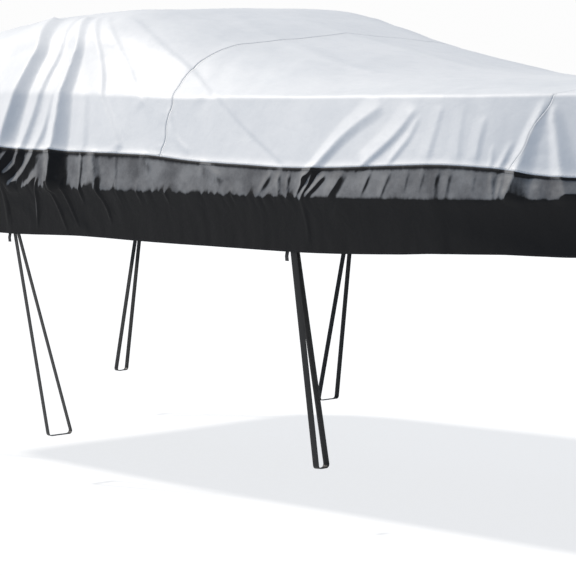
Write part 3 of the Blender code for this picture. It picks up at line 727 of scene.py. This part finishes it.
def clothBump(tree, look):
    # weave, fine drape creases and the felled seam with its stitches
    d = clothWeave
    cut = addNode(tree, "ShaderNodeUVMap", {"uv_map": "cut"})
    seam = addNode(tree, "ShaderNodeUVMap", {"uv_map": "seam"})
    place = addNode(tree, "ShaderNodeTexCoord")
    threads = bandsPerMetre(d["threadPitch"])
    warp = addNode(tree, "ShaderNodeTexWave", {"bands_direction": "X", "Scale": threads},
                   {"Vector": cut.outputs["UV"]})
    weft = addNode(tree, "ShaderNodeTexWave", {"bands_direction": "Y", "Scale": threads},
                   {"Vector": cut.outputs["UV"]})
    weave = addNode(tree, "ShaderNodeMath", {"operation": "MULTIPLY"},
                    {0: warp.outputs["Fac"], 1: weft.outputs["Fac"]})
    creases = addNode(tree, "ShaderNodeTexNoise",
                      {"Scale": 1 / d["creaseSize"], "Detail": 4.0, "Roughness": 0.55, "Distortion": 0.6},
                      {"Vector": place.outputs["Object"]})
    parts = addNode(tree, "ShaderNodeSeparateXYZ", {}, {"Vector": seam.outputs["UV"]})
    fell = addNode(tree, "ShaderNodeMapRange",
                   {"interpolation_type": "SMOOTHSTEP", "From Min": d["seamWidth"],
                    "From Max": d["seamWidth"] - d["seamStep"]}, {"Value": parts.outputs["Y"]})
    offset = addNode(tree, "ShaderNodeMath", {"operation": "SUBTRACT", 1: d["stitchInset"]},
                     {0: parts.outputs["Y"]})
    away = addNode(tree, "ShaderNodeMath", {"operation": "ABSOLUTE"}, {0: offset.outputs[0]})
    row = addNode(tree, "ShaderNodeMath", {"operation": "LESS_THAN", 1: d["stitchWidth"] / 2},
                  {0: away.outputs[0]})
    beat = addNode(tree, "ShaderNodeMath", {"operation": "PINGPONG", 1: d["stitchPitch"] / 2},
                   {0: parts.outputs["X"]})
    gap = d["stitchPitch"] * d["stitchGap"]
    dash = addNode(tree, "ShaderNodeMath", {"operation": "GREATER_THAN", 1: gap}, {0: beat.outputs[0]})
    stitch = addNode(tree, "ShaderNodeMath", {"operation": "MULTIPLY"},
                     {0: row.outputs[0], 1: dash.outputs[0]})
    first = addNode(tree, "ShaderNodeBump", {"Strength": 1.0, "Distance": d["weaveDepth"]},
                    {"Height": weave.outputs[0]})
    second = addNode(tree, "ShaderNodeBump", {"Strength": 0.6, "Distance": look["creaseDepth"]},
                     {"Height": creases.outputs["Fac"], "Normal": first.outputs["Normal"]})
    third = addNode(tree, "ShaderNodeBump", {"Strength": 0.10, "Distance": d["seamHeight"]},
                    {"Height": fell.outputs["Result"], "Normal": second.outputs["Normal"]})
    last = addNode(tree, "ShaderNodeBump", {"Strength": 0.8, "Distance": d["stitchDepth"], "invert": True},
                   {"Height": stitch.outputs[0], "Normal": third.outputs["Normal"]})
    return last.outputs["Normal"], stitch.outputs[0], parts.outputs["Y"], place.outputs["Object"]


def markSeam(tree, look, body, stitch, away):
    # the thread's colour on the stitches, and a thin shadow where the next panel is sewn on
    sewn = addNode(tree, "ShaderNodeMath", {"operation": "MULTIPLY", 1: look["threadShare"]}, {0: stitch})
    stitched = addNode(tree, "ShaderNodeMix", {"data_type": "RGBA", 7: hexColour(look["thread"])},
                       {0: sewn.outputs[0], 6: body})
    edge = addNode(tree, "ShaderNodeMapRange",
                   {"From Min": look["edgeFrom"], "From Max": look["edgeTo"], "To Max": look["edgeShare"]},
                   {"Value": away})
    edged = addNode(tree, "ShaderNodeMix", {"data_type": "RGBA", 7: hexColour(look["edge"])},
                    {0: edge.outputs["Result"], 6: stitched.outputs[2]})
    return edged.outputs[2]


def makeSilver(look):
    finish, tree, shader = newFinish(look["name"])
    normal, stitch, away, place = clothBump(tree, look)
    broad = addNode(tree, "ShaderNodeTexNoise",
                    {"Scale": 1 / look["toneSize"], "Detail": 5.0, "Roughness": 0.6}, {"Vector": place})
    tone = addNode(tree, "ShaderNodeMapRange",
                   {"From Min": 0.42, "From Max": 0.75, "To Max": look["toneShare"]},
                   {"Value": broad.outputs["Fac"]})
    toned = addNode(tree, "ShaderNodeMix",
                    {"data_type": "RGBA", 6: hexColour(look["light"]), 7: hexColour(look["shade"])},
                    {0: tone.outputs["Result"]})
    fine = addNode(tree, "ShaderNodeTexNoise",
                   {"Scale": 1 / look["rubSize"], "Detail": 6.0, "Roughness": 0.65}, {"Vector": place})
    rub = addNode(tree, "ShaderNodeMapRange",
                  {"From Min": 0.45, "From Max": 0.85, "To Max": look["rubShare"]},
                  {"Value": fine.outputs["Fac"]})
    rubbed = addNode(tree, "ShaderNodeMix", {"data_type": "RGBA", 7: hexColour(look["worn"])},
                     {0: rub.outputs["Result"], 6: toned.outputs[2]})
    smooth, dull = look["roughness"]
    roughness = addNode(tree, "ShaderNodeMapRange", {"To Min": smooth, "To Max": dull},
                        {"Value": fine.outputs["Fac"]})
    tree.links.new(markSeam(tree, look, rubbed.outputs[2], stitch, away), shader.inputs["Base Color"])
    tree.links.new(normal, shader.inputs["Normal"])
    tree.links.new(roughness.outputs["Result"], shader.inputs["Roughness"])
    shader.inputs["IOR"].default_value = look["ior"]
    shader.inputs["Sheen Weight"].default_value = look["sheen"]
    return finish


def makeCharcoal(look):
    finish, tree, shader = newFinish(look["name"])
    normal, stitch, away, place = clothBump(tree, look)
    # the painted light's level: painted sunlight where the cloth looks up and aft, painted shade elsewhere
    upward = addNode(tree, "ShaderNodeAttribute", {"attribute_name": "paintedLightLevel"})
    patches = addNode(tree, "ShaderNodeTexNoise",
                      {"Scale": 1 / look["patchSize"], "Detail": 5.0, "Roughness": 0.6}, {"Vector": place})
    cut = addNode(tree, "ShaderNodeUVMap", {"uv_map": "cut"})
    drawn = addNode(tree, "ShaderNodeMapping",
                    {"Scale": (1 / look["streakWidth"], 1 / look["streakLength"], 1)},
                    {"Vector": cut.outputs["UV"]})
    streaks = addNode(tree, "ShaderNodeTexNoise", {"Scale": 1.0, "Detail": 3.0, "Roughness": 0.6},
                      {"Vector": drawn.outputs["Vector"]})
    both = addNode(tree, "ShaderNodeMath", {"operation": "ADD"},
                   {0: patches.outputs["Fac"], 1: streaks.outputs["Fac"]})
    less, more = look["paintedLitNudge"]
    nudge = addNode(tree, "ShaderNodeMapRange",
                    {"From Min": 0.5, "From Max": 1.5, "To Min": less, "To Max": more},
                    {"Value": both.outputs[0]})
    level = addNode(tree, "ShaderNodeMath", {"operation": "ADD"},
                    {0: upward.outputs["Fac"], 1: nudge.outputs["Result"]})
    # how far the painted sunlit grey covers the near-black cloth
    fade = addNode(tree, "ShaderNodeMapRange",
                   {"interpolation_type": "SMOOTHSTEP", "From Min": look["paintedLitFrom"],
                    "From Max": look["paintedLitTo"]}, {"Value": level.outputs[0]})
    mottle = addNode(tree, "ShaderNodeMapRange", {"From Min": 0.36, "From Max": 0.64},
                     {"Value": patches.outputs["Fac"]})
    # the painted sunlit grey, its tone varying at random
    paintedLit = addNode(tree, "ShaderNodeMix",
                    {"data_type": "RGBA", 6: hexColour(look["paintedLitGrey"]), 7: hexColour(look["paintedLitPale"])},
                    {0: mottle.outputs["Result"]})
    # near black where the shade is painted, painted sunlit grey where the light is painted
    body = addNode(tree, "ShaderNodeMix", {"data_type": "RGBA", 6: hexColour(look["dark"])},
                   {0: fade.outputs["Result"], 7: paintedLit.outputs[2]})
    tree.links.new(markSeam(tree, look, body.outputs[2], stitch, away), shader.inputs["Base Color"])
    tree.links.new(normal, shader.inputs["Normal"])
    shader.inputs["Roughness"].default_value = look["roughness"]
    shader.inputs["IOR"].default_value = look["ior"]
    shader.inputs["Specular IOR Level"].default_value = look["gloss"]
    return finish


def makeWebbing(look):
    finish, tree, shader = newFinish(look["name"])
    cut = addNode(tree, "ShaderNodeUVMap", {"uv_map": "cut"})
    ribs = addNode(tree, "ShaderNodeTexWave",
                   {"bands_direction": "X", "Scale": bandsPerMetre(look["ribPitch"])},
                   {"Vector": cut.outputs["UV"]})
    picks = addNode(tree, "ShaderNodeTexWave",
                    {"bands_direction": "Y", "Scale": bandsPerMetre(look["pickPitch"]), "Distortion": 0.8},
                    {"Vector": cut.outputs["UV"]})
    woven = addNode(tree, "ShaderNodeMath", {"operation": "MULTIPLY"},
                    {0: ribs.outputs["Fac"], 1: picks.outputs["Fac"]})
    # painted shade in the weave's hollows, painted highlight on the ribs
    body = addNode(tree, "ShaderNodeMix",
                   {"data_type": "RGBA", 6: hexColour(look["deep"]), 7: hexColour(look["rib"])},
                   {0: woven.outputs[0]})
    bump = addNode(tree, "ShaderNodeBump", {"Strength": 0.9, "Distance": look["ribDepth"]},
                   {"Height": woven.outputs[0]})
    tree.links.new(body.outputs[2], shader.inputs["Base Color"])
    tree.links.new(bump.outputs["Normal"], shader.inputs["Normal"])
    shader.inputs["Roughness"].default_value = look["roughness"]
    shader.inputs["IOR"].default_value = look["ior"]
    return finish


silver = makeSilver(silverFinish)
charcoal = makeCharcoal(charcoalFinish)
webbing = makeWebbing(webbingFinish)
print("materials made")

for number, strap in enumerate(straps, start=1):
    for side, letter in ((-1, "s"), (1, "p")):
        makeStrap(f"{letter}{number}", strap, side, webbing)
print("tie-down loops made")


clothMesh = {
    "thickness": 0.0012,
    "topStep": 0.008, "bandStep": 0.005,        # along the boat, where the folds are
    "foldedFrom": -0.46, "foldedTo": 2.76,
    "farStep": 0.026, "endStep": 0.040,         # beyond them, and round the transom
    "rowCounts": (22, 18, 36, 38, 26),          # from each level to the next
    "edgeClear": 0.003, "rowClear": 0.01,       # between a panel's edge and its next column or row
    "merge": 1e-5,                              # vertices closer than this are joined
}

# Painted sunlight on the dark cloth, most where it looks up and aft, and painted shade toward
# the hem. Along the bend over the gunwale the painted light ends in a ragged edge.
paintedLightShape = {
    "aftTurn": 0.55, "aftLeast": -0.30, "aftMost": 0.34,
    "hemShade": 0.15, "hemFrom": -0.10, "hemFade": 0.06,
    "edgeReach": 0.032, "edgeMean": 0.22,
    "spike": 0.62, "spikeWidth": 0.034, "spikeLength": 0.3, "spikeLean": 0.3,
    "fineSpike": 0.12, "fineSpikeWidth": 0.012, "fineSpikeLength": 0.05,
}


def evenly(start, end, step):
    return np.linspace(start, end, max(1, round((end - start) / step)) + 1)


def lengthLines(fromU, toU, step):
    # places of the mesh's columns, close together where the folds are
    d = clothMesh
    stops = ((sternU, coverShape["transomU"], d["endStep"]),
             (coverShape["transomU"], d["foldedFrom"], d["farStep"]),
             (d["foldedFrom"], d["foldedTo"], step),
             (d["foldedTo"], bowU, d["farStep"]))
    lines = np.unique(np.concatenate([evenly(*stop) for stop in stops]).round(6))
    inside = lines[(lines > fromU + d["edgeClear"]) & (lines < toU - d["edgeClear"])]
    return np.concatenate(([fromU], inside, [toU]))


def levelLines(fromV, toV):
    lines = np.concatenate([np.arange(count) / count + level
                            for level, count in enumerate(clothMesh["rowCounts"])] + [[spine]])
    inside = lines[(lines > fromV + clothMesh["rowClear"]) & (lines < toV - clothMesh["rowClear"])]
    return np.concatenate(([fromV], inside, [toV]))


def seamPlace(u, v, area, sewn):
    # distance along and away from the nearest sewn edge of the panel
    fromU, toU, fromV, toV = area[1:]
    g = girthAt(v)
    along, away = g.copy(), np.full_like(u, 1.0)        # a metre away, where no edge is nearer
    for edge, distance, run in (("aft", u - fromU, g), ("fore", toU - u, g),
                                ("low", g - girthAt(fromV), u), ("high", girthAt(toV) - g, u)):
        if edge in sewn:
            nearer = distance < away
            along = np.where(nearer, run, along)
            away = np.where(nearer, distance, away)
    return np.stack([along, away], axis=-1)


def paintedLightLevel(placed, lift, us, gs, side):
    # painted light: how far each place looks up and aft, less a painted shade toward the hem, with a ragged
    # painted edge along the bend
    d = paintedLightShape
    grid = placed.reshape(len(us), len(gs), 3)
    normal = np.cross(np.gradient(grid, axis=0), np.gradient(grid, axis=1)) * -side
    up = normal[..., 2] / np.maximum(np.linalg.norm(normal, axis=2), 1e-12)
    aft = np.gradient(lift.reshape(len(us), len(gs)), us, axis=0)
    turned = np.clip(d["aftTurn"] * aft, d["aftLeast"], d["aftMost"])
    u, g = np.meshgrid(us, gs, indexing="ij")
    shaded = d["hemShade"] * smoothStep((d["hemFrom"] - g) / d["hemFade"])
    leant = u - d["spikeLean"] * g
    spikes = np.abs(softNoise(leant / d["spikeWidth"], g / d["spikeLength"], noiseSeeds["spikes"]))
    fineSpike = softNoise(u / d["fineSpikeWidth"], g / d["fineSpikeLength"], noiseSeeds["fineSpike"])
    ragged = d["edgeMean"] - d["spike"] * spikes + d["fineSpike"] * fineSpike
    ragged *= np.exp(-(g / d["edgeReach"]) ** 2) * np.interp(u, *np.array(bendRaggedness).T)
    return (up + turned - shaded + ragged).ravel()


def makePanel(name, areas, finish, sewn, step, bowGap=0.0):
    # a panel is one or more areas of the cover: the side, then its ends along u and its levels
    points, faces, cutPlaces, seamPlaces, paintedLightLevels = [], [], [], [], []
    first = 0
    for area in areas:
        side, fromU, toU, fromV, toV = area
        us, vs = lengthLines(fromU, toU, step), levelLines(fromV, toV)
        u, v = (axis.ravel() for axis in np.meshgrid(us, vs, indexing="ij"))
        placed, lift = coverSurface(u, v, side)
        paintedLightLevels.append(paintedLightLevel(placed, lift, us, girthAt(vs), side))
        placed[(v == spine) | (u == sternU), 1] = 0.0
        placed[u == bowU, 1] = side * bowGap
        points.append(placed)
        cutPlaces.append(np.stack([u, girthAt(v)], axis=-1))
        seamPlaces.append(seamPlace(u, v, area, sewn))
        low = first + (np.arange(len(us) - 1)[:, None] * len(vs) + np.arange(len(vs) - 1)[None, :]).ravel()
        quads = np.stack([low, low + len(vs), low + len(vs) + 1, low + 1], axis=-1)
        faces.append(quads if side < 0 else quads[:, ::-1])
        first += len(u)
    points, faces = np.concatenate(points), np.concatenate(faces)
    mesh = bpy.data.meshes.new(name)
    mesh.from_pydata(points.tolist(), [], faces.tolist())
    for layerName, places in (("cut", cutPlaces), ("seam", seamPlaces)):
        layer = mesh.uv_layers.new(name=layerName)
        layer.data.foreach_set("uv", np.concatenate(places)[faces.ravel()].ravel())
    # the painted sunlight and shade, which the charcoal finish reads
    layer = mesh.attributes.new("paintedLightLevel", "FLOAT", "POINT")
    layer.data.foreach_set("value", np.concatenate(paintedLightLevels).astype(np.float32))
    builder = bmesh.new()
    builder.from_mesh(mesh)
    bmesh.ops.remove_doubles(builder, verts=builder.verts, dist=clothMesh["merge"])
    builder.to_mesh(mesh)
    builder.free()
    piece = finishPiece(f"cover_{name}", mesh, finish)
    shell = piece.modifiers.new("cloth", "SOLIDIFY")
    shell.thickness = clothMesh["thickness"]
    shell.offset = -1
    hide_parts(name)
    print("panel", name, len(mesh.polygons), "faces", round(sum(p.area for p in mesh.polygons), 3), "m2")
    return piece


def bothSides(*area):
    return [(side, *area) for side in (-1, 1)]


halfGap = coverShape["seamGap"] / 2
overBand = bandSeam + levelShare(bandSeam, halfGap)
underSeam = bandSeam - levelShare(gunwale, halfGap)
transomSeam = crease - coverShape["transomDrop"]
underTop = transomSeam - levelShare(bandSeam, 2 * halfGap)
transomU, seamAftU, seamForeU = coverShape["transomU"], coverShape["seamAftU"], coverShape["seamForeU"]
topStep, bandStep = clothMesh["topStep"], clothMesh["bandStep"]

makePanel("top_aft", bothSides(transomU + halfGap, seamAftU - halfGap, overBand, spine)
          + bothSides(sternU, transomU + halfGap, transomSeam, spine),
          silver, ("fore", "low"), topStep)
makePanel("top_mid", bothSides(seamAftU + halfGap, seamForeU - halfGap, overBand, spine),
          silver, ("aft", "fore", "low"), topStep)
makePanel("top_bow", bothSides(seamForeU + halfGap, bowU, overBand, spine),
          silver, ("aft", "low"), topStep)
makePanel("transom_panel", bothSides(sternU, transomU - halfGap, overBand, underTop),
          silver, ("fore", "low", "high"), topStep)
makePanel("band_transom", bothSides(sternU, transomU - halfGap, hem, underSeam),
          charcoal, ("fore", "low", "high"), topStep)
for side, name, step in ((-1, "band_starboard", bandStep), (1, "band_port", 2 * bandStep)):
    makePanel(name, [(side, transomU + halfGap, bowU, hem, underSeam)],
              charcoal, ("aft", "low", "high"), step, bowGap=coverShape["seamGap"])
print("cloth panels made")


# A high key light from aft and to starboard, a pale blue fill from all round, and a white
# backdrop that only the camera sees.
studio = {
    "floorZ": -1.95, "floorSize": 400.0, "floor": "#8F9194", "floorGlow": 0.74,
    "sunPower": 3.45, "sunAngle": 4.0, "sunFrom": (-0.66, -0.32, 0.72), "sunColour": "#FFF7EC",
    "skyFill": "#D4E4F9", "skyPower": 0.45, "backdrop": "#FFFFFF", "backdropPower": 0.98,
}


def makeFloor(setup):
    mesh = bpy.data.meshes.new("floor")
    reach, z = setup["floorSize"], setup["floorZ"]
    corners = [(-reach, -reach, z), (reach, -reach, z), (reach, reach, z), (-reach, reach, z)]
    mesh.from_pydata(corners, [], [(0, 1, 2, 3)])
    finish, _, shader = newFinish("matt studio floor, off-white")
    shader.inputs["Base Color"].default_value = hexColour(setup["floor"])
    shader.inputs["Roughness"].default_value = 0.9
    shader.inputs["Emission Color"].default_value = hexColour(setup["backdrop"])
    shader.inputs["Emission Strength"].default_value = setup["floorGlow"]      # keeps the shadow pale
    mesh.materials.append(finish)
    floor = bpy.data.objects.new("floor", mesh)
    bpy.context.scene.collection.objects.link(floor)
    floor.visible_diffuse = False       # its own bounce would wash out the folds from below


def makeLight(setup):
    data = bpy.data.lights.new("key", "SUN")
    data.energy = setup["sunPower"]
    data.angle = math.radians(setup["sunAngle"])
    data.color = hexColour(setup["sunColour"])[:3]
    key = bpy.data.objects.new("key", data)
    key.rotation_euler = Vector(setup["sunFrom"]).to_track_quat("Z", "Y").to_euler()
    bpy.context.scene.collection.objects.link(key)
    world = bpy.data.worlds.new("studio")
    world.use_nodes = True
    tree = world.node_tree
    tree.nodes.clear()
    fill = addNode(tree, "ShaderNodeBackground",
                   {"Color": hexColour(setup["skyFill"]), "Strength": setup["skyPower"]})
    backdrop = addNode(tree, "ShaderNodeBackground",
                       {"Color": hexColour(setup["backdrop"]), "Strength": setup["backdropPower"]})
    rays = addNode(tree, "ShaderNodeLightPath")
    mix = addNode(tree, "ShaderNodeMixShader", {},
                  {0: rays.outputs["Is Camera Ray"], 1: fill.outputs[0], 2: backdrop.outputs[0]})
    addNode(tree, "ShaderNodeOutputWorld", {}, {"Surface": mix.outputs[0]})
    bpy.context.scene.world = world
    bpy.context.scene.view_settings.view_transform = "Standard"


makeFloor(studio)
makeLight(studio)
print("studio set")
